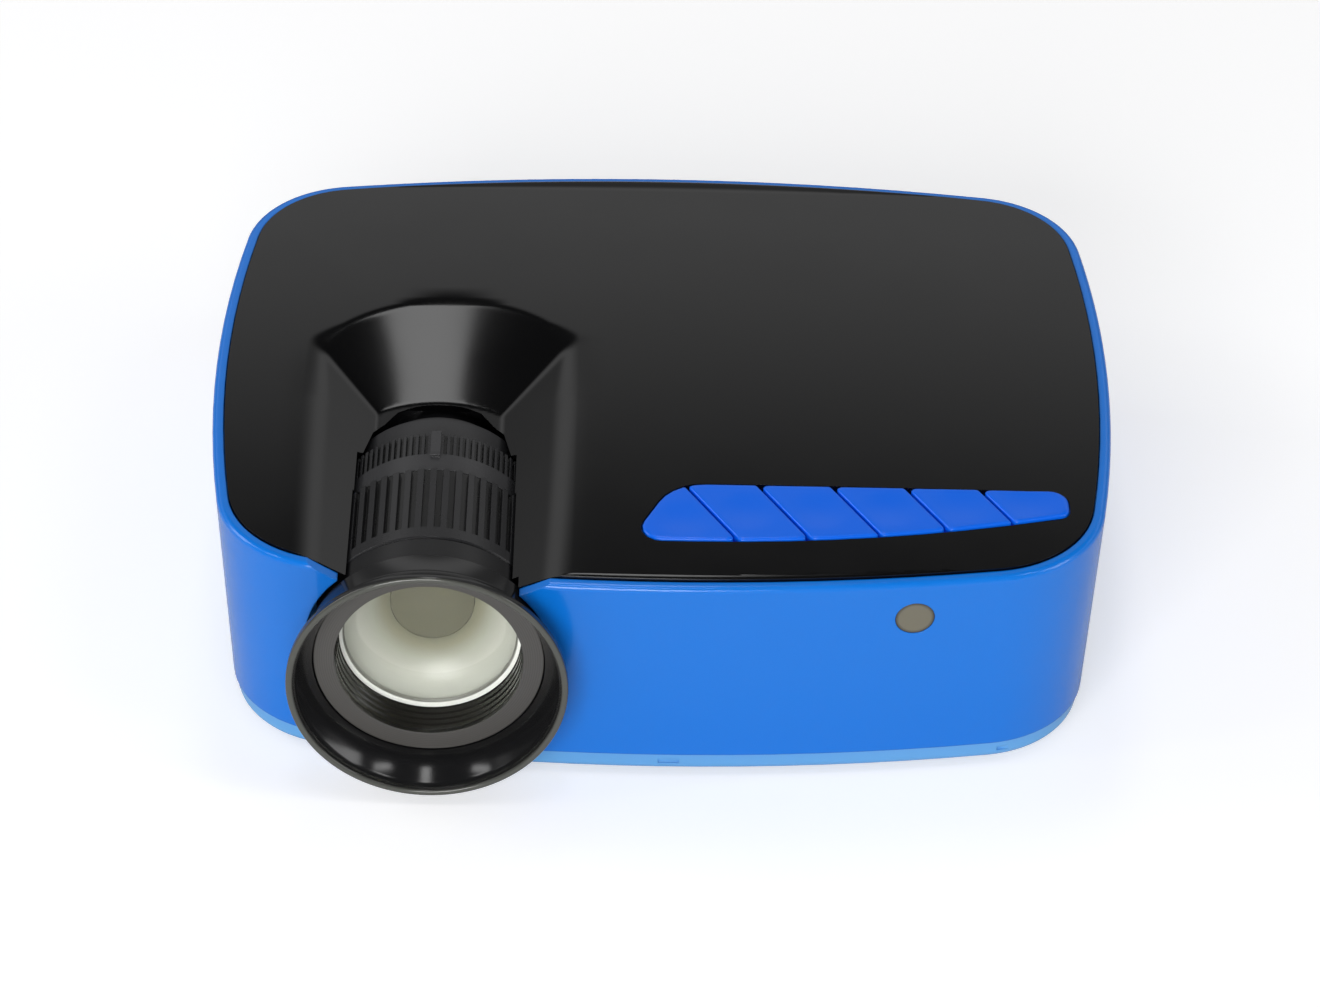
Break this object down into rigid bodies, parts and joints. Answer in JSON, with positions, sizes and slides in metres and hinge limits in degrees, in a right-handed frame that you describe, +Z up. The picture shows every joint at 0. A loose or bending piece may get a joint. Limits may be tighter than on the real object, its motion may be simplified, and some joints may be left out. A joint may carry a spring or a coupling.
{
  "type": "art projector",
  "caption": "Low rounded blue and black LED projector with a ribbed focus barrel and hood in a top trough, a strip of push buttons and a round receiver window.",
  "frame": {"origin": "on the table under the middle of the whole object's box", "axes": "+Z up, the lens looks along -Y, +X is the right-hand side seen from the front"},
  "size_m": [0.1998, 0.1629, 0.0636],
  "materials": {
    "black_cover": "satin black",
    "blue_shell": "glossy blue",
    "blue_base": "glossy blue",
    "blue_key": "glossy blue",
    "circuit_board": "solder mask",
    "receiver_window": "tinted",
    "dark_plastic": "moulded",
    "barrel_plastic": "satin",
    "hood_plastic": "satin",
    "lens_glass": "polished",
    "clear_plastic": "grooved",
    "panel_glass": "polished",
    "sheet_metal": "pressed sheet",
    "steel": "zinc plated",
    "reflector": "bright",
    "bare_aluminium": "extruded",
    "lamp_board": "white mask",
    "winding_tape": "tape",
    "capacitor_sleeve": "sleeve",
    "speaker_steel": "painted",
    "brass": "machined",
    "rubber": "moulded"
  },
  "bodies": {
    "casing": {"top_cover": "black_cover", "housing": "blue_shell", "port_panel": "dark_plastic", "bottom_cover": "blue_base", "keypad_board": "circuit_board", "ir_window": "receiver_window", "ir_receiver": "dark_plastic", "lens_tube": "barrel_plastic", "middle_lens": "lens_glass", "rear_lens": "lens_glass", "engine_case": "dark_plastic", "engine_lid": "dark_plastic", "front_fresnel": "clear_plastic", "rear_fresnel": "clear_plastic", "heat_glass": "lens_glass", "condenser_lens": "lens_glass", "light_cone": "reflector", "led_module": "lamp_board", "heat_sink": "bare_aluminium", "fan_frame": "dark_plastic", "main_board": "circuit_board", "processor_cooler": "bare_aluminium", "video_port": "sheet_metal", "data_ports": "sheet_metal", "audio_jack": "dark_plastic", "card_slot": "sheet_metal", "power_board": "circuit_board", "power_transformer": "winding_tape", "power_capacitors": "capacitor_sleeve", "mains_inlet": "dark_plastic", "speaker": "speaker_steel", "tripod_insert": "brass", "rubber_feet": "rubber", "case_screws": "steel", "engine_screws": "steel", "fan_screws": "steel", "board_screws": "steel", "keypad_screws": "steel"},
    "power_key": {"power_button": "blue_key"},
    "source_key": {"source_button": "blue_key"},
    "menu_key": {"menu_button": "blue_key"},
    "back_key": {"back_button": "blue_key"},
    "minus_key": {"minus_button": "blue_key"},
    "plus_key": {"plus_button": "blue_key"},
    "focus_body": {"focus_ring": "barrel_plastic"},
    "lens_barrel": {"front_barrel": "barrel_plastic", "lens_hood": "hood_plastic", "lens_retainer": "dark_plastic", "front_lens": "lens_glass"},
    "keystone_body": {"keystone_ring": "barrel_plastic"},
    "rod_body": {"keystone_rod": "steel"},
    "panel_body": {"panel_carrier": "sheet_metal", "lcd_panel": "panel_glass"},
    "fan_body": {"fan_rotor": "dark_plastic"}
  },
  "joints": [
    {"name": "power_press", "type": "slide", "parent": "casing", "child": "power_key", "axis": [0, 0, -1], "range_m": [0, 0.0006], "stiffness_N_per_m": 1500},
    {"name": "source_press", "type": "slide", "parent": "casing", "child": "source_key", "axis": [0, 0, -1], "range_m": [0, 0.0006], "stiffness_N_per_m": 1500},
    {"name": "menu_press", "type": "slide", "parent": "casing", "child": "menu_key", "axis": [0, 0, -1], "range_m": [0, 0.0006], "stiffness_N_per_m": 1500},
    {"name": "back_press", "type": "slide", "parent": "casing", "child": "back_key", "axis": [0, 0, -1], "range_m": [0, 0.0006], "stiffness_N_per_m": 1500},
    {"name": "minus_press", "type": "slide", "parent": "casing", "child": "minus_key", "axis": [0, 0, -1], "range_m": [0, 0.0006], "stiffness_N_per_m": 1500},
    {"name": "plus_press", "type": "slide", "parent": "casing", "child": "plus_key", "axis": [0, 0, -1], "range_m": [0, 0.0006], "stiffness_N_per_m": 1500},
    {"name": "focus_turn", "type": "hinge", "parent": "casing", "child": "focus_body", "pos_m": [-0.0495, -0.0482, 0.03335], "axis": [0, 1, 0], "range_deg": [0, 120]},
    {"name": "barrel_slide", "type": "slide", "parent": "casing", "child": "lens_barrel", "axis": [0, -1, 0], "range_m": [0, 0.006]},
    {"name": "keystone_turn", "type": "hinge", "parent": "casing", "child": "keystone_body", "pos_m": [-0.0495, -0.029, 0.03335], "axis": [0, 1, 0], "range_deg": [-40, 40]},
    {"name": "rod_slide", "type": "slide", "parent": "casing", "child": "rod_body", "axis": [0, 1, 0], "range_m": [-0.0026, 0.0026]},
    {"name": "panel_tilt", "type": "hinge", "parent": "casing", "child": "panel_body", "pos_m": [-0.0495, 0.0156, 0.0431], "axis": [1, 0, 0], "range_deg": [-5, 5]},
    {"name": "fan_spin", "type": "hinge", "parent": "casing", "child": "fan_body", "pos_m": [-0.0495, 0.065, 0.028], "axis": [0, 1, 0], "continuous": true}
  ],
  "couplings": [
    {"joint": "focus_turn", "follows": "barrel_slide", "rad_per_m": 349},
    {"joint": "keystone_turn", "follows": "rod_slide", "rad_per_m": 268.4},
    {"joint": "panel_tilt", "follows": "rod_slide", "rad_per_m": 33.4}
  ]
}
